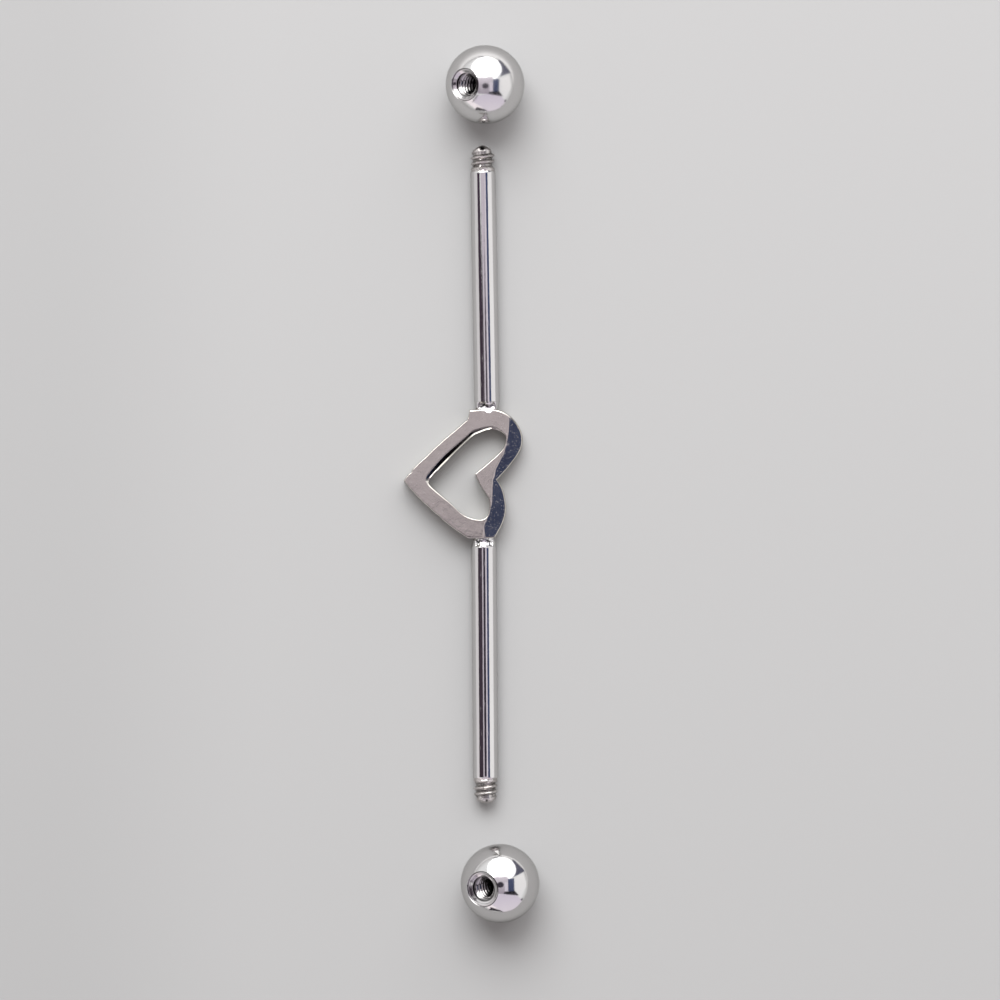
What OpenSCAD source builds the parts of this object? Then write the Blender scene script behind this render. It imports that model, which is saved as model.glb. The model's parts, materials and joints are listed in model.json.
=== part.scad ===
// Industrial barbell: two posts welded to an open heart, and its two threaded balls lying unscrewed.
// Millimetres. X runs to the right, Y towards the upper ball, Z up from the surface it lies on.
// The origin is at the middle of the whole set, on that surface.

/* [Posts] */
// Diameter of the wire of both posts
bar_d = 1.6; // [1.2:0.1:2]
// Length of the upper post, from the heart's edge to its shoulder
upper_post_l = 15; // [6:0.5:24]
// Length of the lower post, from the heart's edge to its shoulder
lower_post_l = 15; // [6:0.5:24]
// Lean of the upper post to the left
upper_lean = 1; // [0:0.1:3]
// Lean of the lower post, whose end swings to the right
lower_lean = 0.4; // [0:0.05:3]

/* [Thread] */
// Pitch of the thread
thread_pitch = 0.35; // [0.3:0.05:0.4]
// Length of the thread, from the end of the shoulder to the start of the tip
thread_l = 0.95; // [0.7:0.05:2]
// Step from the wire down to the thread's crest
thread_step = 0.05; // [0:0.01:0.1]
// Depth of the thread under its crest
thread_depth = 0.19; // [0.12:0.01:0.24]
// Length of the shoulder, from the full wire down to the thread's root
shoulder_l = 0.34; // [0.2:0.02:0.6]
// Length of the domed tip of the upper end
upper_tip_l = 0.41; // [0.2:0.01:0.5]
// Length of the worn tip of the lower end
lower_tip_l = 0.33; // [0.2:0.01:0.5]

/* [Heart] */
// Width of the heart, from its tip to its lobes
heart_w = 7.49; // [6:0.05:10]
// Height of the heart, across its lobes
heart_h = 8.35; // [7:0.05:11]
// Thickness of the heart's plate
plate_t = 1.55; // [1:0.05:1.55]
// Rounding of the outer edge of the face
edge_r = 0.12; // [0.05:0.01:0.2]
// Rounding of the hole's edge of the face, where it is widest
hole_edge_r = 0.3; // [0.05:0.01:0.35]
// Bevel of the edges underneath
under_edge = 0.08; // [0.04:0.01:0.15]
// Fall of the whole face from its lower edge towards its upper one
face_fall = 3; // [0:0.5:3]
// Slope of the face over the lobes, down to the right
lobe_slope = 14; // [0:1:18]
// Width over which the face turns into that slope
bend_w = 0.1; // [0.05:0.05:0.4]

/* [Weld collars] */
// Length of the collar along the post
collar_l = 0.55; // [0.3:0.05:1]
// Height of the collar over the post, where it meets the heart
collar_h = 0.12; // [0.05:0.01:0.2]
// Depth to which a post and its collar sink into the heart's edge
weld_sink = 0.2; // [0.1:0.05:0.4]

/* [Balls] */
// Diameter of both balls
ball_d = 4.95; // [4:0.05:6]
// Depth of the drilled hole, from its mouth to the end of its straight wall
hole_l = 3.6; // [2.6:0.1:3.6]
// Depth to which the hole is threaded
hole_thread_l = 2.1; // [1.2:0.05:2.1]
// Angle between the two sides of the upper ball's countersink
upper_sink_angle = 90; // [80:1:150]
// Angle between the two sides of the lower ball's countersink
lower_sink_angle = 130; // [80:1:150]
// Angle between the drill point's two sides
drill_point = 118; // [90:1:140]
// Radial clearance between the threads of a post and a ball
thread_clear = 0.03; // [0.01:0.01:0.05]
// Diameter of the countersink's mouth on the upper ball
upper_mouth_d = 2.05; // [1.75:0.05:2.4]
// Diameter of the countersink's mouth on the lower ball
lower_mouth_d = 2.25; // [1.75:0.05:2.4]

/* [How the balls lie] */
// Clear distance along Y between the upper tip and its ball
upper_gap = 1.24; // [0.5:0.05:6]
// Clear distance along Y between the lower tip and its ball
lower_gap = 2.49; // [0.5:0.05:6]
// Place of the upper ball to the right of the upper tip
upper_side = 0.17; // [-3:0.01:3]
// Place of the lower ball to the right of the lower tip
lower_side = 0.9; // [-3:0.01:3]
// Angle of the upper ball's hole from straight up
upper_tilt = 34; // [0:1:80]
// Direction to which the upper ball's hole leans, from +X
upper_turn = 185.5; // [0:0.5:360]
// Angle of the lower ball's hole from straight up
lower_tilt = 30.5; // [0:0.5:80]
// Direction to which the lower ball's hole leans, from +X
lower_turn = 192.5; // [0:0.5:360]

/* [Hidden] */
$fn = 96;

steel = "#b4b0b4";
bar_r = bar_d / 2;
ball_r = ball_d / 2;
crest_r = bar_r - thread_step;
root_r = crest_r - thread_depth;

// Heart outline as ribs across its rim, clockwise from the tip. Lengths are shares of
// heart_w along X from the tip and of heart_h along Y from the tip. A round of 0 is a sharp
// corner and of 1 a smooth curve. The last column is the hole's edge rounding there, as a
// share of hole_edge_r.
OUT_X = 0;
OUT_Y = 1;
OUT_ROUND = 2;
IN_X = 3;
IN_Y = 4;
IN_ROUND = 5;
IN_EDGE = 6;
ribs = [
    [0.000, 0.000, 0.1, 0.212, -0.011, 0.2, 0.6],
    [0.085, 0.095, 0.5, 0.239, 0.030, 1, 0.9],
    [0.305, 0.282, 1, 0.381, 0.163, 1, 1],
    [0.530, 0.455, 0.3, 0.557, 0.316, 1, 0.75],
    [0.555, 0.522, 0.1, 0.629, 0.356, 1, 0.65],
    [0.777, 0.530, 1, 0.742, 0.386, 1, 0.5],
    [0.914, 0.470, 1, 0.832, 0.358, 1, 0.35],
    [0.993, 0.355, 1, 0.858, 0.304, 1, 0.35],
    [0.985, 0.233, 1, 0.824, 0.227, 1, 0.35],
    [0.878, 0.095, 1, 0.704, 0.126, 1, 0.35],
    [0.786, 0.005, 0, 0.599, 0.049, 0, 0.35],
    [0.834, -0.066, 1, 0.645, -0.038, 1, 0.35],
    [0.862, -0.195, 1, 0.716, -0.144, 1, 0.35],
    [0.842, -0.307, 1, 0.708, -0.257, 1, 0.35],
    [0.769, -0.430, 0.1, 0.637, -0.295, 1, 0.35],
    [0.549, -0.438, 0.2, 0.505, -0.260, 1, 0.35],
    [0.369, -0.329, 1, 0.390, -0.168, 1, 0.35],
    [0.126, -0.133, 1, 0.239, -0.051, 1, 0.4],
];
rib_steps = 5;

// Bevel that stands for the rounding of an edge of the face: how far its middle lies from each
// side, as a share of the rounding
edge_corner = 1 - cos(45);

// Line where the face turns down towards the lobes, as shares: height along Y, place along X
bend_line = [
    [-0.42, 0.672],
    [-0.34, 0.672],
    [-0.27, 0.708],
    [-0.18, 0.742],
    [0.00, 0.752],
    [0.08, 0.772],
    [0.20, 0.845],
    [0.43, 0.888],
];

// Places where the posts meet the heart, as shares: place along X, height of the edge along Y
upper_joint = [0.7, 0.524];
lower_joint = [0.674, -0.438];

// Places across the rim at which the face has a point, as shares of its flat width
face_stops = [0, 0.2, 0.4, 0.6, 0.8, 1];

function rib_at(i) = ribs[(i + len(ribs)) % len(ribs)];

function rim(x_name, y_name, i) = [rib_at(i)[x_name] * heart_w, rib_at(i)[y_name] * heart_h];

function slope_at(x_name, y_name, round_name, i) =
    rib_at(i)[round_name] * (rim(x_name, y_name, i + 1) - rim(x_name, y_name, i - 1)) / 2;

// Cubic curve from one rib to the next, at share t of the way
function rim_curve(x_name, y_name, round_name, i, t) =
    (2 * t ^ 3 - 3 * t ^ 2 + 1) * rim(x_name, y_name, i)
    + (t ^ 3 - 2 * t ^ 2 + t) * slope_at(x_name, y_name, round_name, i)
    + (3 * t ^ 2 - 2 * t ^ 3) * rim(x_name, y_name, i + 1)
    + (t ^ 3 - t ^ 2) * slope_at(x_name, y_name, round_name, i + 1);

// Height of the face: the plate's thickness at the lower joint, falling from there to the upper
// lobe, and turning down past the bend line
function face_z(p) =
    let (
        rise = p[1] - lower_joint[1] * heart_h,
        past = p[0] - lookup(p[1] / heart_h, bend_line) * heart_w
    )
    plate_t - tan(face_fall) * rise - tan(lobe_slope) * (past + sqrt(past ^ 2 + bend_w ^ 2)) / 2;

// Section of the rim, from underneath at its outer point over the face to its inner point.
// Each spot is a distance across the rim and a height, from the bottom or under the face.
function section(outer, inner, hole_r) =
    let (
        across = norm(inner - outer),
        way = (inner - outer) / across,
        flat_w = across - edge_r - hole_r,
        outer_foot = [[under_edge, 0], [0, under_edge]],
        top = concat(
            [[0, edge_r], [edge_r * edge_corner, edge_r * edge_corner]],
            [for (s = face_stops) [edge_r + s * flat_w, 0]],
            [[across - hole_r * edge_corner, hole_r * edge_corner], [across, hole_r]]
        ),
        inner_foot = [[across, under_edge], [across - under_edge, 0]]
    )
    concat(
        [for (spot = outer_foot) concat(outer + way * spot[0], spot[1])],
        [for (spot = top) let (p = outer + way * spot[0]) concat(p, face_z(p) - spot[1])],
        [for (spot = inner_foot) concat(outer + way * spot[0], spot[1])]
    );

heart_sections = [
    for (i = [0:len(ribs) - 1], step = [0:rib_steps - 1])
        let (
            t = step / rib_steps,
            edge_share = (1 - t) * rib_at(i)[IN_EDGE] + t * rib_at(i + 1)[IN_EDGE]
        )
        section(
            rim_curve(OUT_X, OUT_Y, OUT_ROUND, i, t),
            rim_curve(IN_X, IN_Y, IN_ROUND, i, t),
            hole_edge_r * edge_share
        )
];

// Closed skin over a ring of sections, each joined to the next and the last to the first
function ring_faces(count, size) = [
    for (i = [0:count - 1], j = [0:size - 1])
        let (
            next = (i + 1) % count,
            up = (j + 1) % size,
            a = i * size + j,
            b = next * size + j,
            c = next * size + up,
            d = i * size + up
        )
        each [[a, b, c], [a, c, d]]
];

// Skin over an open row of sections, with a cap at each end
function row_faces(count, size) = concat(
    [
        for (i = [0:count - 2], j = [0:size - 1])
            let (
                up = (j + 1) % size,
                a = i * size + j,
                b = (i + 1) * size + j,
                c = (i + 1) * size + up,
                d = i * size + up
            )
            each [[a, c, b], [a, d, c]]
    ],
    [[for (j = [0:size - 1]) j]],
    [[for (j = [size - 1:-1:0]) (count - 1) * size + j]]
);

// Places of the pieces, with the heart's tip at zero
upper_root = [upper_joint[0] * heart_w, upper_joint[1] * heart_h];
lower_root = [lower_joint[0] * heart_w, lower_joint[1] * heart_h];
upper_reach = upper_post_l + shoulder_l + thread_l + upper_tip_l;
lower_reach = lower_post_l + shoulder_l + thread_l + lower_tip_l;
upper_tip = upper_root + upper_reach * [-sin(upper_lean), cos(upper_lean)];
lower_tip = lower_root + lower_reach * [sin(lower_lean), -cos(lower_lean)];
upper_ball_at = upper_tip + [upper_side, upper_gap + ball_r];
lower_ball_at = lower_tip + [lower_side, -lower_gap - ball_r];
middle = [
    (lower_ball_at[0] + ball_r) / 2,
    (upper_ball_at[1] + lower_ball_at[1]) / 2
];

// Half widths of the post's tooth and the ball's groove, as shares of the pitch: at the
// thread's root and at its crest
tooth_root = 0.27;
tooth_crest = 0.07;
groove_mouth = 0.29;
groove_floor = 0.08;

// Points in a turn of a tooth, the least share of its height at its two ends, and how deep its
// foot sits in the wall
tooth_steps = 24;
least_fade = 0.1;
tooth_bite = 0.05;

// Profile of a tip past its thread, as shares: radius of root_r, length of the tip's length
tip_profile = [
    [1, 0],
    [0.8, 0.45],
    [0.4, 0.9],
    [0, 1],
];

// Profile of a weld collar, as shares: height over the wire of collar_h, length of collar_l
collar_profile = [
    [1.2, 0],
    [1, 0.1],
    [0.35, 0.45],
    [0, 1],
];

// Helical tooth along Z from z = 0 to z = length, on a wall of radius wall_r. Its height fades
// in over the first quarter turn and out over the last one.
module helical_tooth(length, wall_r, crest_r, wall_half, crest_half) {
    turns = length / thread_pitch;
    count = ceil(turns * tooth_steps);
    fade = tooth_steps / 4;
    foot_r = wall_r - tooth_bite;
    points = [
        for (i = [0:count])
            let (
                angle = 360 * turns * i / count,
                rise = length * i / count,
                shown = max(least_fade, min(1, i / fade, (count - i) / fade)),
                r = wall_r + shown * (crest_r - wall_r),
                half = thread_pitch * (wall_half + shown * (crest_half - wall_half)),
                foot = thread_pitch * wall_half
            )
            each [
                [foot_r * cos(angle), foot_r * sin(angle), rise - foot],
                [r * cos(angle), r * sin(angle), rise - half],
                [r * cos(angle), r * sin(angle), rise + half],
                [foot_r * cos(angle), foot_r * sin(angle), rise + foot]
            ]
    ];
    polyhedron(points, row_faces(count + 1, 4), convexity = 8);
}

// Moves a piece from the heart's own place to its place about the middle of the whole set
module centred() {
    translate([-middle[0], -middle[1], 0]) children();
}

module heart_plate() {
    points = [for (s = heart_sections) each s];
    polyhedron(points, ring_faces(len(heart_sections), len(heart_sections[0])), convexity = 6);
}

// Fillet of weld metal round a post, along Z, from the heart's edge
module weld_collar() {
    rotate_extrude()
        polygon([
            [0, -weld_sink],
            [bar_r + collar_profile[0][0] * collar_h, -weld_sink],
            for (spot = collar_profile) [bar_r + spot[0] * collar_h, spot[1] * collar_l],
            [0, collar_l]
        ]);
}

// One end of the bar along Z: the post from the heart's edge, its shoulder, thread and tip
module threaded_post(post_l, tip_l) {
    thread_z = post_l + shoulder_l;
    tip_z = thread_z + thread_l;
    translate([0, 0, -weld_sink]) cylinder(r = bar_r, h = post_l + weld_sink);
    rotate_extrude()
        polygon([
            [0, post_l],
            [bar_r, post_l],
            [root_r, thread_z],
            for (spot = tip_profile) [spot[0] * root_r, tip_z + spot[1] * tip_l]
        ]);
    translate([0, 0, thread_z])
        helical_tooth(thread_l, root_r, crest_r, tooth_root, tooth_crest);
}

// Block below the surface, which trims the two collars where they would reach under it
module under_surface() {
    width = 2 * heart_w;
    length = upper_root[1] - lower_root[1] + 4 * collar_l;
    translate([upper_root[0] - width / 2, lower_root[1] - 2 * collar_l, -bar_d])
        cube([width, length, bar_d]);
}

module heart_bar() {
    color(steel)
        centred()
            difference() {
                union() {
                    heart_plate();
                    translate([upper_root[0], upper_root[1], bar_r])
                        rotate([-90, 0, upper_lean]) {
                            threaded_post(upper_post_l, upper_tip_l);
                            weld_collar();
                        }
                    translate([lower_root[0], lower_root[1], bar_r])
                        rotate([90, 0, lower_lean]) {
                            threaded_post(lower_post_l, lower_tip_l);
                            weld_collar();
                        }
                }
                under_surface();
            }
}

// Ball with its hole along Z, open at the top
module threaded_ball(mouth_d, sink_angle) {
    mouth_r = mouth_d / 2;
    mouth_z = sqrt(ball_r ^ 2 - mouth_r ^ 2);
    wall_r = root_r + thread_clear;
    groove_r = crest_r + thread_clear;
    sink_z = mouth_z - (mouth_r - wall_r) / tan(sink_angle / 2);
    clear_z = mouth_z + ball_r / tan(sink_angle / 2);
    end_z = mouth_z - hole_l;
    point_z = end_z - wall_r / tan(drill_point / 2);
    difference() {
        sphere(r = ball_r);
        rotate_extrude()
            polygon([
                [0, point_z],
                [wall_r, end_z],
                [wall_r, sink_z],
                [mouth_r + ball_r, clear_z],
                [0, clear_z]
            ]);
        translate([0, 0, mouth_z - hole_thread_l])
            helical_tooth(hole_thread_l, wall_r, groove_r, groove_mouth, groove_floor);
    }
}

module upper_ball() {
    color(steel)
        centred()
            translate([upper_ball_at[0], upper_ball_at[1], ball_r])
                rotate([0, upper_tilt, upper_turn])
                    threaded_ball(upper_mouth_d, upper_sink_angle);
}

module lower_ball() {
    color(steel)
        centred()
            translate([lower_ball_at[0], lower_ball_at[1], ball_r])
                rotate([0, lower_tilt, lower_turn])
                    threaded_ball(lower_mouth_d, lower_sink_angle);
}

heart_bar();
upper_ball();
lower_ball();
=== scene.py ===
import json
import math

import bmesh
import bpy
from mathutils import Matrix, Vector, noise


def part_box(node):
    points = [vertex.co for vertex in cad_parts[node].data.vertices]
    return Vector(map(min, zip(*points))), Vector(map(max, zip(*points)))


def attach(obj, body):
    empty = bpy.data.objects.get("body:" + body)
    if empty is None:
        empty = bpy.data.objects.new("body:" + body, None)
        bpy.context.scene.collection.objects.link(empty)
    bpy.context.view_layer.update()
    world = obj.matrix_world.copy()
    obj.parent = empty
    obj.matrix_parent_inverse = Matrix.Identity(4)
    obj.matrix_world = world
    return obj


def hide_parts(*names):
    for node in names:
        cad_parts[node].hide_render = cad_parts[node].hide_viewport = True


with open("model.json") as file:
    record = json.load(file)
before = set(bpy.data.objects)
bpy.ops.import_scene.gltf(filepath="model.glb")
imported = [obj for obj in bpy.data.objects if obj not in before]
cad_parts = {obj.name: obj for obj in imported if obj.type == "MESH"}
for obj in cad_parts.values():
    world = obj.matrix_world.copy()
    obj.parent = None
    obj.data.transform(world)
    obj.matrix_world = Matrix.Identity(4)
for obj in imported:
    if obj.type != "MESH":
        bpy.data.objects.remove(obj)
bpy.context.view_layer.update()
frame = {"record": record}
scene = bpy.context.scene
MM = 0.001

# Camera on a copy stand, straight above the set, with a long lens. All looks are set up in screen
# colours, so the view is the plain one.
camera_at = Vector((1.79, -1.0, 400.0)) * MM
camera_data = bpy.data.cameras.new("camera")
camera_data.sensor_width = 36
camera_data.lens = 228.5
camera_data.clip_start = 0.01
camera = bpy.data.objects.new("camera", camera_data)
camera.location = camera_at
scene.collection.objects.link(camera)
scene.camera = camera
scene.view_settings.view_transform = "Standard"

# Light tent over the table: a round softbox above the far end, white and dark cards round the
# lens, and the lens itself. They light the metal and show in it. The metal's own colour is named
# here because the cards are set by how they look in it.
STEEL = (0.60, 0.59, 0.585)


def linear(*channels):
    """Screen colour, 0 to 255, as linear light."""
    return [(c / 255 / 12.92) if c <= 10 else ((c / 255 + 0.055) / 1.055) ** 2.4 for c in channels]


def lit(*channels):
    """Radiance that shows as this screen colour when polished steel mirrors it."""
    return [c / s for c, s in zip(linear(*channels), STEEL)]


def new_material(name):
    material = bpy.data.materials.new(name)
    material.use_nodes = True
    material.node_tree.nodes.clear()
    return material, material.node_tree.nodes, material.node_tree.links


def way_mirrored(u, v):
    """Direction that a ball mirrors at u, v, in radii from its middle as seen from above."""
    up = math.sqrt(max(0.0, 1 - u * u - v * v))
    return Vector((2 * up * u, 2 * up * v, 2 * up * up - 1))


def finished(bm, name, materials, sharp_angle=40):
    """Mesh object of a bmesh, with smooth shading up to an angle."""
    mesh = bpy.data.meshes.new(name)
    bm.to_mesh(mesh)
    bm.free()
    for material in materials:
        mesh.materials.append(material)
    mesh.shade_smooth()
    mesh.set_sharp_from_angle(angle=math.radians(sharp_angle))
    piece = bpy.data.objects.new(name, mesh)
    scene.collection.objects.link(piece)
    return piece


def glow(name, low_colour, high_colour, low_v, high_v):
    """Material that shines by itself, in a colour that changes with its height in the ball."""
    material, nodes, links = new_material(name)
    out = nodes.new("ShaderNodeOutputMaterial")
    emission = nodes.new("ShaderNodeEmission")
    place = nodes.new("ShaderNodeAttribute")
    place.attribute_name = "height"
    ramp = nodes.new("ShaderNodeMapRange")
    ramp.inputs["From Min"].default_value = low_v
    ramp.inputs["From Max"].default_value = high_v
    mix = nodes.new("ShaderNodeMix")
    mix.data_type = "RGBA"
    mix.inputs["A"].default_value = (*lit(*low_colour), 1)
    mix.inputs["B"].default_value = (*lit(*high_colour), 1)
    links.new(place.outputs["Fac"], ramp.inputs["Value"])
    links.new(ramp.outputs["Result"], mix.inputs["Factor"])
    links.new(mix.outputs["Result"], emission.inputs["Color"])
    links.new(emission.outputs["Emission"], out.inputs["Surface"])
    material.cycles.emission_sampling = "NONE"
    return material


def only_mirrored(piece):
    """Shows a card to the metal alone, which leaves the table to the lamps and the tent."""
    piece.visible_camera = False
    piece.visible_diffuse = False
    piece.visible_shadow = False


def card(name, distance, corners, low_colour, high_colour=None):
    """Studio card whose four corners are given as places in a ball's reflection."""
    bm = bmesh.new()
    bmesh.ops.create_grid(bm, x_segments=8, y_segments=8, size=0.5)
    layer = bm.verts.layers.float.new("height")
    low_left, low_right, high_right, high_left = [Vector(c) for c in corners]
    for vert in bm.verts:
        s, t = vert.co.x + 0.5, vert.co.y + 0.5
        spot = low_left.lerp(low_right, s).lerp(high_left.lerp(high_right, s), t)
        vert[layer] = spot.y
        vert.co = Vector((camera_at.x, camera_at.y, 0)) + way_mirrored(*spot) * distance
    heights = [c[1] for c in corners]
    shine = glow(name, low_colour, high_colour or low_colour, min(heights), max(heights))
    only_mirrored(finished(bm, name, [shine]))


def flag(u0, v0, u1, v1):
    """Corners of an upright card."""
    return [(u0, v0), (u1, v0), (u1, v1), (u0, v1)]


# Distances of the rows that the cards hang in. A nearer card hides what is behind it.
mark_row, gap_row, strip_row, card_row = 0.73, 0.74, 0.745, 0.75
side_row, low_left_row, corner_row = 0.76, 0.77, 1.3

card("camera_card", card_row, flag(-0.187, -0.25, 0.2, 0.19), (149, 140, 150), (203, 194, 202))
card("camera_strip", strip_row, flag(0.12, -0.25, 0.2, 0.043), (198, 190, 202), (208, 200, 208))
card("right_gap", gap_row, flag(0.2, -0.25, 0.358, 0.135), (50, 57, 84), (67, 74, 102))
card("right_spike", mark_row,
     [(0.08, -0.25), (0.46, -0.3), (0.37, -0.18), (0.12, -0.19)], (26, 24, 30))
card("low_right_mark", mark_row,
     [(0.5, -0.42), (0.53, -0.44), (0.56, -0.39), (0.53, -0.37)], (60, 54, 62))
card("left_gap", gap_row, flag(-0.47, -0.2, -0.16, 0.028), (52, 46, 52), (58, 48, 58))
card("left_gap_top", gap_row, flag(-0.45, 0.028, -0.26, 0.1), (58, 46, 58), (66, 54, 66))
card("dark_corner", corner_row,
     [(0.25, 0.127), (0.64, 0.31), (0.34, 0.635), (0.3, 0.5)], (80, 80, 96), (92, 90, 102))
card("right_card", side_row,
     [(0.345, -0.18), (0.5, -0.34), (0.65, -0.1), (0.66, 0.05)], (220, 217, 218), (226, 223, 223))
card("right_card_top", side_row,
     [(0.345, -0.18), (0.66, -0.02), (0.6, 0.26), (0.345, 0.15)], (222, 219, 219), (228, 225, 225))
card("low_card_left", card_row,
     [(-0.31, -0.45), (0.07, -0.7), (0.07, -0.25), (-0.17, -0.29)], (209, 200, 208), (196, 187, 200))
card("low_card_right", card_row,
     [(0.07, -0.7), (0.36, -0.64), (0.54, -0.42), (0.07, -0.25)], (211, 202, 210), (196, 187, 200))
card("low_card_corner", card_row,
     [(0.07, -0.25), (0.54, -0.42), (0.4, -0.28), (0.28, -0.25)], (199, 190, 202))
card("low_left_line", mark_row,
     [(-0.34, -0.45), (-0.31, -0.45), (-0.17, -0.29), (-0.2, -0.27)], (92, 84, 92))
card("low_foot_line", mark_row,
     [(-0.27, -0.652), (0.09, -0.7), (0.0, -0.65), (-0.22, -0.58)], (38, 34, 40))
card("top_mark", mark_row,
     [(-0.17, 0.655), (-0.04, 0.668), (-0.03, 0.695), (-0.16, 0.685)], (105, 103, 108))
card("low_left_card", low_left_row,
     [(-0.6, -0.33), (-0.24, -0.65), (-0.02, -0.655), (-0.36, -0.36)], (240, 229, 232), (232, 222, 226))
card("left_card", side_row,
     [(-0.6, -0.34), (-0.4, -0.4), (-0.46, 0.12), (-0.68, 0.12)], (228, 219, 222), (190, 187, 188))

# The lens with its hood hangs a little off the camera's axis, as a dark disc.
lens_half_w, lens_half_h = 67 * MM, 58 * MM
lens_at = camera_at + Vector((9, -27, 1)) * MM
lens_colour = (48, 43, 52)
lens_bm = bmesh.new()
bmesh.ops.create_circle(lens_bm, cap_ends=True, segments=48, radius=1)
bmesh.ops.scale(lens_bm, verts=lens_bm.verts, vec=(lens_half_w, lens_half_h, 1))
bmesh.ops.translate(lens_bm, verts=lens_bm.verts, vec=lens_at)
only_mirrored(finished(lens_bm, "lens", [glow("lens", lens_colour, lens_colour, -1, 1)]))


def softbox(name, u, v, half_width, half_height, radiance, distance):
    """Round light, seen from the set under these half angles, where a ball mirrors it at u, v."""
    way = way_mirrored(u, v)
    width = distance * math.tan(math.radians(half_width))
    height = distance * math.tan(math.radians(half_height))
    data = bpy.data.lights.new(name, "AREA")
    data.shape = "ELLIPSE"
    data.size = 2 * width
    data.size_y = 2 * height
    data.energy = radiance * math.pi * math.pi * width * height
    lamp = bpy.data.objects.new(name, data)
    lamp.location = Vector((camera_at.x, camera_at.y, 0)) + way * distance
    lamp.rotation_euler = way.to_track_quat("Z", "Y").to_euler()
    lamp.visible_camera = False
    scene.collection.objects.link(lamp)


softbox("softbox", 0.045, 0.405, 39.5, 38.5, 1.8, 0.8)
softbox("softbox_bulb", -0.06, 0.33, 22, 19, 5.3, 0.79)

# The tent's wall darkens towards the table. It is bright to the metal. To the table its sides give
# most of its light, because its top is open for the camera.
tent = bpy.data.worlds.new("tent")
scene.world = tent
tent.use_nodes = True
nodes, links = tent.node_tree.nodes, tent.node_tree.links
way_out = nodes.new("ShaderNodeTexCoord")
split = nodes.new("ShaderNodeSeparateXYZ")
wall = nodes.new("ShaderNodeMapRange")
wall.interpolation_type = "SMOOTHSTEP"
wall.inputs["From Max"].default_value = 0.27
wall_colour = nodes.new("ShaderNodeMix")
wall_colour.data_type = "RGBA"
wall_colour.inputs["A"].default_value = (*lit(182, 180, 179), 1)
wall_colour.inputs["B"].default_value = (*lit(217, 216, 216), 1)
path = nodes.new("ShaderNodeLightPath")
for_table = nodes.new("ShaderNodeMix")
for_table.data_type = "RGBA"
sides_and_top = nodes.new("ShaderNodeMix")
sides_and_top.data_type = "RGBA"
sides_and_top.inputs["A"].default_value = (0.92, 0.85, 0.835, 1)
sides_and_top.inputs["B"].default_value = (0.22, 0.205, 0.2, 1)
links.new(way_out.outputs["Generated"], split.inputs["Vector"])
links.new(split.outputs["Z"], wall.inputs["Value"])
links.new(wall.outputs["Result"], wall_colour.inputs["Factor"])
links.new(split.outputs["Z"], sides_and_top.inputs["Factor"])
links.new(sides_and_top.outputs["Result"], for_table.inputs["B"])
links.new(path.outputs["Is Diffuse Ray"], for_table.inputs["Factor"])
links.new(wall_colour.outputs["Result"], for_table.inputs["A"])
links.new(for_table.outputs["Result"], nodes["Background"].inputs["Color"])

# Table: a flat sheet of pale grey paper under the set. Its colour carries painted light: painted shade to
# the left and towards the foot, and a painted pool of light past the far end, under the softbox.
floor_bm = bmesh.new()
bmesh.ops.create_grid(floor_bm, x_segments=1, y_segments=1, size=4)
bmesh.ops.translate(floor_bm, verts=floor_bm.verts, vec=(0, 0, -0.005 * MM))
paper_with_painted_light, nodes, links = new_material("paper_with_painted_light")
out = nodes.new("ShaderNodeOutputMaterial")
paper = nodes.new("ShaderNodeBsdfPrincipled")
place = nodes.new("ShaderNodeTexCoord")
split = nodes.new("ShaderNodeSeparateXYZ")
across = nodes.new("ShaderNodeMapRange")
across.interpolation_type = "SMOOTHSTEP"
lengthways = nodes.new("ShaderNodeMapRange")
painted_far_light = nodes.new("ShaderNodeMapRange")
# Painted light in the paper's colour: darker to the left and towards the foot, much paler past the far end.
for ramp, socket, low, high, low_share, high_share in (
    (across, "X", -27, -12, 0.92, 1), (lengthways, "Y", -32, 32, 0.96, 1.03),
    (painted_far_light, "Y", 32, 50, 1, 1.85),
):
    ramp.inputs["From Min"].default_value = low * MM
    ramp.inputs["From Max"].default_value = high * MM
    ramp.inputs["To Min"].default_value = low_share
    ramp.inputs["To Max"].default_value = high_share
    links.new(split.outputs[socket], ramp.inputs["Value"])
both = nodes.new("ShaderNodeMath")
both.operation = "MULTIPLY"
all_three = nodes.new("ShaderNodeMath")
all_three.operation = "MULTIPLY"
grey = nodes.new("ShaderNodeVectorMath")
grey.operation = "SCALE"
grey.inputs[0].default_value = (0.435, 0.437, 0.44)
links.new(place.outputs["Object"], split.inputs["Vector"])
links.new(across.outputs["Result"], both.inputs[0])
links.new(lengthways.outputs["Result"], both.inputs[1])
links.new(both.outputs["Value"], all_three.inputs[0])
links.new(painted_far_light.outputs["Result"], all_three.inputs[1])
links.new(all_three.outputs["Value"], grey.inputs["Scale"])
links.new(grey.outputs["Vector"], paper.inputs["Base Color"])
paper.inputs["Roughness"].default_value = 0.9
paper.inputs["Specular IOR Level"].default_value = 0.1
links.new(paper.outputs["BSDF"], out.inputs["Surface"])
finished(floor_bm, "table", [paper_with_painted_light])


# Heart: open, cut from thick steel plate and polished by hand, so its face is a soft mirror that
# turns down over the two lobes, its edges are worn, and the metal keeps small pits and lines.
heart_w = 7.49 * MM
heart_h = 8.35 * MM
plate_t = 1.6 * MM
edge_r = 0.09 * MM
hole_edge_r = 0.4 * MM
under_edge = 0.08 * MM
face_fall = math.tan(math.radians(3))
lobe_slope = math.tan(math.radians(14))
wear_slope = math.tan(math.radians(21.5))
bend_w = 0.04 * MM

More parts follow.
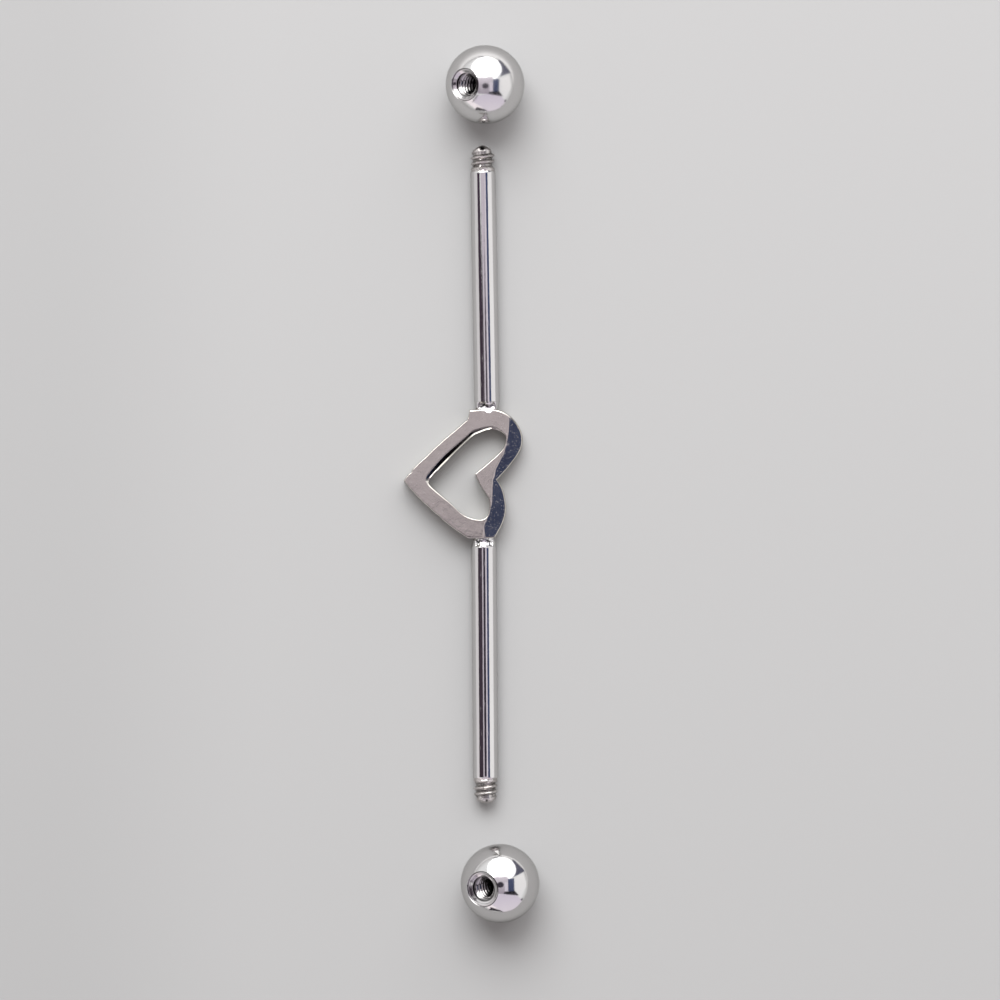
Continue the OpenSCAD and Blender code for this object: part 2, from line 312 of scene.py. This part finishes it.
# Ribs across the rim, clockwise from the tip, as shares of the heart's width and height: outer
# point with its roundness, inner point with its roundness, rounding of the hole's edge.
ribs = [
    (0.000, 0.000, 0.1, 0.212, -0.011, 0.2, 0.45),
    (0.085, 0.095, 0.5, 0.239, 0.030, 1, 0.8),
    (0.305, 0.282, 1, 0.381, 0.163, 1, 1),
    (0.530, 0.455, 0.3, 0.557, 0.316, 1, 0.8),
    (0.555, 0.531, 0.1, 0.629, 0.356, 1, 0.7),
    (0.777, 0.536, 1, 0.742, 0.386, 1, 0.45),
    (0.914, 0.470, 1, 0.832, 0.358, 1, 0.18),
    (0.993, 0.355, 1, 0.858, 0.304, 1, 0.18),
    (0.985, 0.233, 1, 0.824, 0.227, 1, 0.18),
    (0.878, 0.095, 1, 0.704, 0.126, 1, 0.18),
    (0.786, 0.005, 0, 0.599, 0.049, 0, 0.18),
    (0.834, -0.066, 1, 0.645, -0.038, 1, 0.18),
    (0.862, -0.195, 1, 0.716, -0.144, 1, 0.18),
    (0.842, -0.307, 1, 0.708, -0.257, 1, 0.18),
    (0.769, -0.430, 0.1, 0.637, -0.295, 1, 0.18),
    (0.549, -0.438, 0.2, 0.505, -0.260, 1, 0.18),
    (0.369, -0.329, 1, 0.390, -0.168, 1, 0.18),
    (0.126, -0.133, 1, 0.239, -0.051, 1, 0.27),
]
# Line where the face turns down, as shares: height, place across.
bend_line = [
    (-0.42, 0.668), (-0.34, 0.672), (-0.27, 0.702), (-0.18, 0.733), (0.00, 0.745),
    (0.08, 0.766), (0.20, 0.835), (0.32, 0.868), (0.43, 0.882),
]
# Nicks in the outer edge, as shares: place across, height, and in millimetres: depth, width.
nicks = [
    (0.058, 0.062, 0.07, 0.12), (0.19, 0.18, 0.025, 0.2),
    (0.3, -0.275, 0.03, 0.15), (0.2, -0.19, 0.02, 0.12),
]
# How dark the painted shade is along the slope of the hole's upper left edge.
painted_edge_shade = 0.88
rib_steps = 26
face_steps = 34

mounts = {m["name"]: m for m in frame["record"]["mounts"]}
post_l = 15 * MM
wire_r = mounts["upper_post"]["dims"]["r_mm"] * MM


def post_foot(name):
    """Place where a post leaves the heart's edge. Its measured wall ends at the shoulder."""
    measured = mounts[name]
    reach = post_l - measured["dims"]["length_mm"] * MM / 2
    return Vector(measured["pos_m"]) - Vector(measured["axis"]) * reach


upper_foot = post_foot("upper_post")
lower_foot = post_foot("lower_post")
heart_tip = Vector((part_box("heart_bar")[0].x, upper_foot.y - 0.524 * heart_h, 0))
upper_joint = Vector((0.7 * heart_w, 0.524 * heart_h))
lower_joint = Vector((0.674 * heart_w, -0.438 * heart_h))


def rib_point(i, side):
    """Outer (0) or inner (1) point of a rib, measured from the heart's tip."""
    rib = ribs[i % len(ribs)]
    return Vector((rib[3 * side] * heart_w, rib[3 * side + 1] * heart_h))


def rim_point(i, t, side):
    """Point of the outer (0) or inner (1) outline, at share t between rib i and the next."""
    here, there = rib_point(i, side), rib_point(i + 1, side)
    leave = ribs[i % len(ribs)][3 * side + 2] * (there - rib_point(i - 1, side)) / 2
    reach = ribs[(i + 1) % len(ribs)][3 * side + 2] * (rib_point(i + 2, side) - here) / 2
    return (
        (2 * t**3 - 3 * t**2 + 1) * here + (t**3 - 2 * t**2 + t) * leave
        + (3 * t**2 - 2 * t**3) * there + (t**3 - t**2) * reach
    )


def swell(distance, width):
    """Smooth bump of height 1, as wide as this."""
    return math.exp(-((distance / width) ** 2))


def bend_at(y):
    """Place across of the line where the face turns down, at this height in the heart."""
    share = y / heart_h
    for (low, a), (high, b) in zip(bend_line, bend_line[1:]):
        if share <= high:
            return (a + (b - a) * max(0, share - low) / (high - low)) * heart_w
    return bend_line[-1][1] * heart_w


def past_bend(point):
    """Distance past the line where the face turns down, which wanders a little."""
    past = point.x - bend_at(point.y)
    wander = noise.noise(Vector((point.x, point.y, 0)) / (0.3 * MM))
    return past + 0.03 * MM * wander * swell(past, 0.12 * MM)


def face_z(point):
    """Level of the face over the table, with the slight waves that the hand left."""
    past = past_bend(point)
    turned = (past + math.sqrt(past**2 + bend_w**2)) / 2
    hand = 0.004 * MM * noise.noise(Vector((point.x, point.y, 0)) / (1.1 * MM))
    return plate_t - face_fall * (point.y - lower_joint.y) - lobe_slope * turned + hand


def rounded(radius, steps=6):
    """Quarter round from the side wall up to the face: distance in, depth under the face."""
    for k in range(steps + 1):
        turn = math.pi / 2 * k / steps
        yield radius * (1 - math.cos(turn)), radius * (1 - math.sin(turn))


def worn(radius, lip, burr, steps=8):
    """Hole's edge, worn to a slope over a small round, which a burr turns into a raised lip:
    distance in, depth under the face."""
    ease = 0.04 * MM
    run = radius - lip

    def fall(s):
        return wear_slope * (s * s / (2 * ease) if s < ease else s - ease / 2)

    for a, d in rounded(lip, 4):
        yield a, fall(run) + (d if a == 0 else d * (1 - burr) - 0.5 * burr * (lip - a))
    for k in range(1, steps + 1):
        yield lip + run * k / steps, fall(run * (1 - k / steps))


def outer_round(point):
    """Rounding of the outer edge: small on the left, wider by the upper weld and over the lobes."""
    if point.x < 0.54 * heart_w:
        return edge_r * (0.85 if point.y < 0.01 * heart_h else 0.65)
    return edge_r + 0.03 * MM * swell((point - upper_joint).length, 0.9 * MM)


def nick_depth(point):
    """Depth of the nicks in the outer edge, with a file's slight waves between them."""
    depth = 0.012 * (1 + noise.noise(Vector((point.x, point.y, 0)) / (0.5 * MM)))
    for x, y, deep, wide in nicks:
        depth += deep * swell((point - Vector((x * heart_w, y * heart_h))).length, wide * MM)
    return depth * MM


def section(outer, inner, hole_r):
    """Section of the rim, from underneath at its outer point over the face to its inner point: place, and
    share of the painted shade that darkens the slope of the hole's upper left edge."""
    way = (inner - outer).normalized()
    # Share of the hole's upper left edge, found from the rib's way in: it sets the painted shade on the
    # slope there, and the burr's lip.
    upper_left_share = min(1, 1.5 * max(0, -way.y)) * min(1, max(0, 2 * way.x + 1))
    outer = outer + way * nick_depth(outer)
    across = (inner - outer).length
    spots = [(under_edge, 0, 0), (0, under_edge, 0)]
    outer_r = outer_round(outer)
    top = [(a, d, 0) for a, d in rounded(outer_r)]
    flat = across - outer_r - hole_r
    top += [(outer_r + flat * k / face_steps, 0, 0) for k in range(1, face_steps)]
    lip = (0.05 + 0.05 * upper_left_share) * MM
    for a, d in reversed(list(worn(hole_r, lip, upper_left_share))):
        top.append((across - a, d, upper_left_share if lip < a < 0.85 * hole_r else 0))
    spots += [(a, face_z(outer + way * a) - d, dark) for a, d, dark in top]
    spots += [(across, under_edge, 0), (across - under_edge, 0, 0)]
    return [(Vector((*(outer + way * a), z)) + heart_tip, dark) for a, z, dark in spots]


heart_bm = bmesh.new()
darkening_layer = heart_bm.verts.layers.float.new("darkening_and_painted_shade")
sections = []
for i, rib in enumerate(ribs):
    for step in range(rib_steps):
        t = step / rib_steps
        share = (1 - t) * rib[6] + t * ribs[(i + 1) % len(ribs)][6]
        sections.append(section(rim_point(i, t, 0), rim_point(i, t, 1), hole_edge_r * share))
loop = [heart_bm.verts.new(spots[0][0]) for spots in sections]
first_edges = [heart_bm.edges.new(pair) for pair in zip(loop, loop[1:] + loop[:1])]
edges = first_edges
for row in range(1, len(sections[0])):
    grown = bmesh.ops.extrude_edge_only(heart_bm, edges=edges)["geom"]
    edges = [g for g in grown if isinstance(g, bmesh.types.BMEdge)]
    new_verts = {g for g in grown if isinstance(g, bmesh.types.BMVert)}
    loop = [next(e.other_vert(v) for e in v.link_edges if e.other_vert(v) in new_verts) for v in loop]
    # Each vertex takes its place, and the painted shade of the hole's upper left slope.
    for vert, spots in zip(loop, sections):
        vert.co, vert[darkening_layer] = spots[row][0], painted_edge_shade * spots[row][1]
bmesh.ops.bridge_loops(heart_bm, edges=first_edges + edges)
bmesh.ops.recalc_face_normals(heart_bm, faces=heart_bm.faces)


def polish_group():
    """Finish of hand-polished steel: grain, broad clouds and dull pits, which vary its colour, its roughness
    and its height. Wear makes it duller, and the darkening layer blackens it, mostly as painted shade."""
    group = bpy.data.node_groups.new("polish", "ShaderNodeTree")
    nodes, links = group.nodes, group.links
    for name, kind in (
        ("Vector", "NodeSocketVector"), ("Colour", "NodeSocketColor"), ("Roughness", "NodeSocketFloat"),
        ("Grain", "NodeSocketFloat"), ("Pits", "NodeSocketFloat"), ("Clouds", "NodeSocketFloat"),
    ):
        group.interface.new_socket(name=name, in_out="INPUT", socket_type=kind)
    for name, kind in (
        ("Colour", "NodeSocketColor"), ("Roughness", "NodeSocketFloat"), ("Height", "NodeSocketFloat"),
    ):
        group.interface.new_socket(name=name, in_out="OUTPUT", socket_type=kind)
    given, made = nodes.new("NodeGroupInput").outputs, nodes.new("NodeGroupOutput").inputs

    def step(operation, *values):
        node = nodes.new("ShaderNodeMath")
        node.operation = operation
        for socket, value in zip(node.inputs, values):
            if isinstance(value, (int, float)):
                socket.default_value = value
            else:
                links.new(value, socket)
        return node.outputs["Value"]

    def noise_of(scale, detail):
        node = nodes.new("ShaderNodeTexNoise")
        node.inputs["Detail"].default_value = detail
        links.new(given["Vector"], node.inputs["Vector"])
        links.new(scale, node.inputs["Scale"])
        return node.outputs["Fac"]

    grain = noise_of(given["Grain"], 3)
    clouds = noise_of(step("MULTIPLY", given["Grain"], 0.14), 3)
    cells = nodes.new("ShaderNodeTexVoronoi")
    links.new(given["Vector"], cells.inputs["Vector"])
    links.new(step("MULTIPLY", given["Grain"], 0.55), cells.inputs["Scale"])
    chance = nodes.new("ShaderNodeSeparateColor")
    links.new(cells.outputs["Color"], chance.inputs["Color"])
    near = step("SUBTRACT", 1, step("MULTIPLY", cells.outputs["Distance"], 3.6))
    pit = step("MULTIPLY", step("MAXIMUM", near, 0), step("GREATER_THAN", chance.outputs["Red"], 0.4))
    pit = step("MULTIPLY", pit, given["Pits"])
    wear = nodes.new("ShaderNodeAttribute")
    wear.attribute_name = "wear"
    darkening_and_painted_shade = nodes.new("ShaderNodeAttribute")
    darkening_and_painted_shade.attribute_name = "darkening_and_painted_shade"

    cloud = step("MULTIPLY", step("SUBTRACT", clouds, 0.5), given["Clouds"])
    shade = step("SUBTRACT", step("ADD", 1, cloud), step("MULTIPLY", pit, 0.06))
    # The darkening layer blackens the colour: painted shade on the heart's hole slope, in the thread
    # valleys, in the tip spots and in the balls' holes, and a few darker spots on the welds.
    shade = step("MULTIPLY", shade, step("SUBTRACT", 1, step("MULTIPLY", darkening_and_painted_shade.outputs["Fac"], 0.96)))
    tint = nodes.new("ShaderNodeVectorMath")
    tint.operation = "SCALE"
    links.new(given["Colour"], tint.inputs[0])
    links.new(shade, tint.inputs["Scale"])
    links.new(tint.outputs["Vector"], made["Colour"])

    dull = step("MULTIPLY", given["Roughness"], step("ADD", 0.6, step("MULTIPLY", clouds, 0.8)))
    worn_share = step("MULTIPLY", wear.outputs["Fac"], step("ADD", 0.1, step("MULTIPLY", grain, 0.4)))
    dull = step("ADD", dull, step("MULTIPLY", pit, 0.24))
    links.new(step("ADD", dull, worn_share), made["Roughness"])

    waves = step("MULTIPLY", clouds, 2.5)
    scratches = step("MULTIPLY", grain, step("ADD", 1, wear.outputs["Fac"]))
    height = step("ADD", waves, scratches)
    links.new(step("SUBTRACT", height, step("MULTIPLY", pit, 0.7)), made["Height"])
    return group


polish = polish_group()


def steel(name, colour, roughness, grain, stretch=(1, 1, 1), pits=0.5, clouds=0.25, relief=0.001):
    """Steel with its finish: grain in marks per millimetre, stretch along the way it was
    polished, and relief in millimetres."""
    material, nodes, links = new_material(name)
    out = nodes.new("ShaderNodeOutputMaterial")
    metal = nodes.new("ShaderNodeBsdfPrincipled")
    metal.inputs["Metallic"].default_value = 1
    metal.inputs["Specular Tint"].default_value = (0.72, 0.72, 0.71, 1)
    place = nodes.new("ShaderNodeTexCoord")
    mapping = nodes.new("ShaderNodeMapping")
    mapping.inputs["Scale"].default_value = stretch
    finish = nodes.new("ShaderNodeGroup")
    finish.node_tree = polish
    finish.inputs["Colour"].default_value = (*colour, 1)
    finish.inputs["Roughness"].default_value = roughness
    finish.inputs["Grain"].default_value = grain / MM
    finish.inputs["Pits"].default_value = pits
    finish.inputs["Clouds"].default_value = clouds
    bump = nodes.new("ShaderNodeBump")
    bump.inputs["Distance"].default_value = relief * MM
    links.new(place.outputs["Object"], mapping.inputs["Vector"])
    links.new(mapping.outputs["Vector"], finish.inputs["Vector"])
    links.new(finish.outputs["Colour"], metal.inputs["Base Color"])
    links.new(finish.outputs["Roughness"], metal.inputs["Roughness"])
    links.new(finish.outputs["Height"], bump.inputs["Height"])
    links.new(bump.outputs["Normal"], metal.inputs["Normal"])
    links.new(metal.outputs["BSDF"], out.inputs["Surface"])
    return material


heart_steel = steel("heart_steel", (0.455, 0.432, 0.392), 0.09, 16, pits=1.6, clouds=0.2, relief=0.0016)
heart = finished(heart_bm, "heart", [heart_steel], 35)
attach(heart, "root")
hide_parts("heart_bar")


# Posts: two lengths of drawn round wire, polished lengthways and welded to the heart. Each is
# turned down at its end to a chamfered shoulder and a short thread, which is left dull.
crest_r = wire_r - 0.05 * MM
root_r = crest_r - 0.19 * MM
pitch = 0.35 * MM
thread_l = 0.95 * MM
shoulder_l = 0.34 * MM
weld_l = 0.6 * MM
# Chamfered shoulder with a fine turned dip, in millimetres: depth under the wire's surface,
# distance past the wire's end.
shoulder = [
    (0.002, -0.03), (0.012, 0.03), (0.055, 0.09), (0.075, 0.13), (0.05, 0.21), (0.09, 0.27),
]
# The burr's vector noise would start at another place in each run without a seed.
noise.seed_set(1)


def spun(profile, steps=96):
    """Closed solid of revolution about Z, from (radius, height) points."""
    bm = bmesh.new()
    verts = [bm.verts.new((r, 0, z)) for r, z in profile]
    edges = [bm.edges.new(pair) for pair in zip(verts, verts[1:])]
    bmesh.ops.spin(
        bm, geom=verts + edges, cent=(0, 0, 0), axis=(0, 0, 1), dvec=(0, 0, 0),
        angle=2 * math.pi, steps=steps, use_merge=True,
    )
    bmesh.ops.remove_doubles(bm, verts=bm.verts, dist=0.0005 * MM)
    bmesh.ops.recalc_face_normals(bm, faces=bm.faces)
    return bm


def add_helix(bm, wall, crest, start, length, steps=48, fade=0.3):
    """Adds a helical tooth between the radii of its wall and its crest. It fades into the wall
    over a part of its first and last turns."""
    into = math.copysign(0.04 * MM, wall - crest)
    flank = (crest - wall) * 0.9
    tooth = [(wall + into, -0.5), (wall + 0.15 * flank, -0.44), (wall + flank, -0.08), (crest, 0)]
    tooth += [(r, -z) for r, z in reversed(tooth[:3])]
    turns = length / pitch
    count = round(turns * steps)
    helix = bmesh.new()
    face = helix.faces.new([helix.verts.new((-r, 0, start + z * pitch)) for r, z in tooth])
    bmesh.ops.spin(
        helix, geom=[face], cent=(0, 0, 0), axis=(0, 0, 1), dvec=(0, 0, length / count),
        angle=2 * math.pi * turns, steps=count,
    )
    for n, vert in enumerate(helix.verts):
        step = n // len(tooth)
        shown = min(1, step / (fade * steps), (count - step) / (fade * steps))
        radius = math.hypot(vert.co.x, vert.co.y)
        grown = (wall + into + (radius - wall - into) * max(shown, 0.02)) / radius
        vert.co.x *= grown
        vert.co.y *= grown
    bmesh.ops.recalc_face_normals(helix, faces=helix.faces)
    coiled = bpy.data.meshes.new("helix")
    helix.to_mesh(coiled)
    helix.free()
    bm.from_mesh(coiled)
    bpy.data.meshes.remove(coiled)


def along(foot, axis):
    """Matrix that puts a piece's Z along an axis from its foot, and its Y as high as it goes."""
    return Matrix.Translation(foot) @ Vector(axis).to_track_quat("Z", "Y").to_matrix().to_4x4()


wire_steel = steel("wire_steel", STEEL, 0.07, 8, stretch=(1, 0.25, 1), pits=0.8, clouds=0.1, relief=0.0012)
thread_steel = steel("thread_steel", (0.56, 0.53, 0.515), 0.2, 12, pits=0.8, clouds=0.5, relief=0.004)


def post(name, tip, burr, darkening_and_painted_shade):
    """Post from its weld to its tip, as share of the root's radius and height past the thread in
    millimetres. It is duller by the weld. The burr roughens its end. The last argument places a painted
    black spot in its tip, painted shade with no dent in the mesh, as place beside the axis, height past the
    thread and size in millimetres."""
    thread_z = post_l + shoulder_l
    end = thread_z + thread_l
    turned_z = post_l + 0.1 * MM
    profile = [(0, weld_l - 0.1 * MM), (0.9 * wire_r, weld_l - 0.1 * MM), (wire_r, weld_l - 0.02 * MM)]
    profile += [(wire_r, weld_l + (post_l - 0.12 * MM - weld_l) * k / 40) for k in range(41)]
    profile += [(wire_r - a * MM, post_l + b * MM) for a, b in shoulder]
    profile += [(root_r + 0.02 * MM, thread_z + 0.06 * MM), (root_r, end)]
    profile += [(root_r * a, end + b * MM) for a, b in tip]
    bm = spun(profile)
    add_helix(bm, root_r, crest_r, thread_z + 0.02 * MM, thread_l)
    wear_layer = bm.verts.layers.float.new("wear")
    darkening_layer = bm.verts.layers.float.new("darkening_and_painted_shade")
    beside, height, wide = darkening_and_painted_shade
    for vert in bm.verts:
        valley = (crest_r - math.hypot(vert.co.x, vert.co.y)) / (crest_r - root_r)
        vert[wear_layer] = 0.1 * math.exp(-(vert.co.z - weld_l) / (3 * MM))
        if vert.co.z > turned_z:
            vert[wear_layer] = 0.25 if vert.co.z < end else 10 * burr
            rough = noise.noise_vector(vert.co / (0.17 * MM)) * burr * MM
            rough += noise.noise_vector(vert.co / (0.08 * MM)) * 0.4 * burr * MM
            rough.z *= 0.6
            vert.co += rough * (1 if vert.co.z > end else 0.6)
        # Painted shade: a black spot in the tip, where the mesh has no dent.
        from_tip_spot = vert.co.xz - Vector((beside, 0)) * MM - Vector((0, end + height * MM))
        painted_tip_spot = min(1, 1.7 * swell(from_tip_spot.length, wide * MM)) if vert.co.y > 0 else 0
        # Painted shade in the thread's valleys, darker deeper down; the rest of the turned end is a little
        # darker in its own tone.
        if thread_z < vert.co.z < end:
            in_thread = 0.58 * valley
        else:
            in_thread = 0.1 * (vert.co.z > post_l + 0.05 * MM)
        vert[darkening_layer] = max(painted_tip_spot, in_thread)
    for face in bm.faces:
        if face.calc_center_median().z > post_l:
            face.material_index = 1
    foot = upper_foot if name == "upper_post" else lower_foot
    bm.transform(along(foot, mounts[name]["axis"]))
    made = finished(bm, name, [wire_steel, thread_steel])
    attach(made, "root")
    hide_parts("heart_bar")


post(
    "upper_post",
    [(1, 0.06), (0.93, 0.13), (0.8, 0.21), (0.62, 0.28), (0.42, 0.34), (0.2, 0.39), (0, 0.41)],
    0.035, (0.02, 0.18, 0.15),
)
post(
    "lower_post",
    [(1, 0.05), (0.95, 0.12), (0.85, 0.2), (0.7, 0.27), (0.5, 0.31), (0.25, 0.33), (0, 0.33)],
    0.06, (0.06, 0.15, 0.07),
)


# Welds: a bead of weld metal round the foot of each post, filed and polished over by hand. The file has cut
# a saddle into the top of each, and a few spots on it are darkened.
weld_steel = steel("weld_steel", STEEL, 0.12, 8, pits=0.6, clouds=0.2, relief=0.004)


def weld(name, foot, axis, ridge, bow, crown, rows, scale):
    """Weld from rows of distance along the post, radius, and height of the filed top over the axis. The top
    is crowned about its ridge, and bows over the heart there. The sides are left round. The scale, the
    darker spots on the top, is given as places beside the axis, distances along the post and sizes, all in
    millimetres."""
    steps = 60
    core_r, most_bow, flat_half_w, soft = 0.4, 0.15, 0.45, 0.1
    low, high = rows[0][0], rows[-1][0]

    def sizes_at(distance):
        for (a, side_a, top_a), (b, side_b, top_b) in zip(rows, rows[1:]):
            if distance <= b:
                t = (distance - a) / (b - a)
                return side_a + (side_b - side_a) * t, top_a + (top_b - top_a) * t
        return rows[-1][1:]

    heights = [low + (high - low) * k / steps for k in range(steps + 1)]
    profile = [(0, low)] + [(sizes_at(z)[0], z) for z in heights] + [(0, high)]
    bm = spun([(r * MM, z * MM) for r, z in profile], 192)
    darkening_layer = bm.verts.layers.float.new("darkening_and_painted_shade")
    to_right = 1 if axis[1] < 0 else -1
    for vert in bm.verts:
        beside, over, distance = to_right * vert.co.x / MM, vert.co.y / MM, vert.co.z / MM
        if math.hypot(beside, over) < core_r:
            continue
        inside = min(1, (high - distance) / 0.12)
        lump = 0.024 * noise.noise(vert.co / (0.2 * MM)) + 0.02 * noise.noise(vert.co / (0.09 * MM))
        if over > 0:
            spots = [swell(math.hypot(beside - x, distance - z), size) for x, z, size in scale]
            vert[darkening_layer] = min(1, 2 * max(spots))
            off = (beside - ridge) ** 2
            filed = sizes_at(distance - min(bow * off, most_bow))[1] - crown * off
            filed += 25 * max(0, abs(beside) - flat_half_w) ** 2
            vert.co.y = ((over + filed) - math.hypot(over - filed, soft)) / 2 * MM
        vert.co.x *= 1 + 0.3 * lump * inside
        vert.co.y += lump * inside * MM
    bm.transform(along(foot, axis))
    for vert in bm.verts:
        vert.co.z = max(0, vert.co.z)
    made = finished(bm, name, [weld_steel], 60)
    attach(made, "root")
    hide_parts("heart_bar")


weld("upper_weld", upper_foot, mounts["upper_post"]["axis"], 0.12, 1.6, 0.36, [
    (-0.4, 0.6, 0.3), (-0.17, 0.62, 0.3), (-0.14, 0.62, 0.425), (-0.06, 0.65, 0.41), (0.04, 0.67, 0.388),
    (0.12, 0.7, 0.365), (0.18, 0.72, 0.355), (0.22, 0.73, 0.4), (0.27, 0.75, 0.48), (0.34, 0.76, 0.62),
    (0.4, 0.77, 0.72), (0.48, 0.78, 0.8), (0.6, 0.8, 1),
], [
    (-0.35, 0.25, 0.045), (-0.28, 0.3, 0.05), (-0.21, 0.35, 0.05), (-0.14, 0.4, 0.04), (0, 0.32, 0.05),
    (0.05, 0.26, 0.045), (0.03, 0.56, 0.06), (-0.3, 0.56, 0.05), (-0.2, 0.57, 0.05), (0.23, 0.57, 0.045),
])
weld("lower_weld", lower_foot, mounts["lower_post"]["axis"], -0.03, 0, 0.9, [
    (-0.3, 0.6, 0.76), (-0.04, 0.65, 0.76), (0.04, 0.67, 0.72), (0.12, 0.7, 0.67), (0.2, 0.72, 0.655),
    (0.26, 0.74, 0.66), (0.36, 0.76, 0.7), (0.44, 0.78, 0.76), (0.48, 0.79, 0.9), (0.51, 0.8, 1.4),
    (0.62, 0.8, 1.4),
], [
    (-0.46, 0.09, 0.045), (-0.41, 0.17, 0.05), (-0.35, 0.25, 0.05), (-0.29, 0.17, 0.045), (-0.25, 0.1, 0.04),
    (-0.05, 0.05, 0.03), (0.07, 0.06, 0.03), (0.2, 0.1, 0.045), (0.28, 0.15, 0.05), (0.36, 0.19, 0.045),
])


# Balls: turned from bar and polished bright, each with a countersunk blind hole that is tapped for the
# posts. The tool leaves the hole duller, with a fine line round its mouth and rings below. Painted shade
# darkens the line, the tapped groove and the hole deeper down.
bright_steel = steel("bright_steel", STEEL, 0.1, 5, pits=0.15, clouds=0.06, relief=0.0003)
hazy_steel = steel("hazy_steel", STEEL, 0.14, 5, pits=0.15, clouds=0.06, relief=0.0003)
bore_steel = steel("bore_steel", (0.55, 0.53, 0.53), 0.12, 11, pits=0.3, clouds=0.3, relief=0.002)


def ball(name, mouth_d, sink_slope, bore_d, material):
    """Ball with its hole: width of the mouth, slope of the countersink, and width of the bore at its foot.
    Painted shade darkens the line round the mouth, the thread's groove and the hole deeper down; every other
    ring of the countersink is darker in patches."""
    line = 0.045 * MM
    rings = 6
    ring_deep = 0.006 * MM
    play = 0.03 * MM
    threaded_l = 2.8 * MM
    hole_deep = 3.6 * MM
    drill_point = math.radians(59)

    low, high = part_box(name)
    centre = (low + high) / 2
    radius = (high.z - low.z) / 2
    mouth_r = mouth_d / 2
    mouth_z = math.sqrt(radius**2 - mouth_r**2)
    bore_r = bore_d / 2
    wall_r = root_r + play
    groove_r = crest_r + play
    end_z = mouth_z - hole_deep
    open_turn = math.asin(mouth_r / radius)
    arc = [
        (radius * math.sin(turn), radius * math.cos(turn))
        for turn in (math.pi + (open_turn - math.pi) * k / 72 for k in range(73))
    ]
    sink = math.tan(math.radians(sink_slope))
    seat_r, seat_z = mouth_r - 2 * line, mouth_z - line
    turned = [
        (
            seat_r + (bore_r - seat_r) * k / rings,
            seat_z - (seat_r - bore_r) * sink * k / rings - ring_deep * (k % 2),
        )
        for k in range(rings)
    ]
    sunk_z = seat_z - (seat_r - bore_r) * sink
    profile = arc[:-1] + [
        (mouth_r + 0.01 * MM, mouth_z - 0.004 * MM), (mouth_r - 0.2 * line, mouth_z - 0.9 * line),
        (mouth_r - line, mouth_z - 1.3 * line),
    ] + turned + [
        (bore_r, sunk_z), (groove_r, sunk_z - play), (groove_r, end_z),
        (0, end_z - wall_r / math.tan(drill_point)),
    ]
    bm = spun(profile, 144)
    add_helix(bm, groove_r, wall_r, sunk_z - 0.1 * MM - threaded_l, threaded_l)
    darkening_layer = bm.verts.layers.float.new("darkening_and_painted_shade")
    for vert in bm.verts:
        beside = math.hypot(vert.co.x, vert.co.y)
        depth = (mouth_z - vert.co.z) / MM
        if beside < mouth_r - 0.01 * line and depth > 0:
            # Painted shade in the fine line round the mouth.
            painted_mouth_line = 0.9 * swell(beside - mouth_r + 0.6 * line, 0.7 * line)
            # Painted shade in the tapped thread's groove.
            groove = 0.85 * math.sqrt(min(1, max(0, (beside - wall_r) / (groove_r - wall_r))))
            groove *= vert.co.z < sunk_z - 0.01 * MM
            # Every other ring of the countersink is darker, in patches.
            if sunk_z + 0.01 * MM < vert.co.z < seat_z - 0.01 * MM:
                ring = round((seat_r - beside) / (seat_r - bore_r) * rings)
                patch = 0.5 + 1.2 * noise.noise(vert.co / (0.5 * MM))
                groove = (ring % 2) * min(0.75, max(0.1, patch))
            # Painted shade, darker deeper in the hole.
            painted_hole_shade = min(0.97, max(0, depth - 1.2))
            vert[darkening_layer] = max(painted_mouth_line, groove, painted_hole_shade)
    for face in bm.faces:
        spot = face.calc_center_median()
        if math.hypot(spot.x, spot.y) < mouth_r and spot.length < 0.995 * radius:
            face.material_index = 1
    bm.transform(along(centre, mounts[name + "_thread"]["axis"]))
    made = finished(bm, name + "_polished", [material, bore_steel])
    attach(made, "root")
    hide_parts(name)


ball("upper_ball", 2.05 * MM, 34, 1.5 * MM, hazy_steel)
ball("lower_ball", 2.25 * MM, 20, 1.68 * MM, bright_steel)
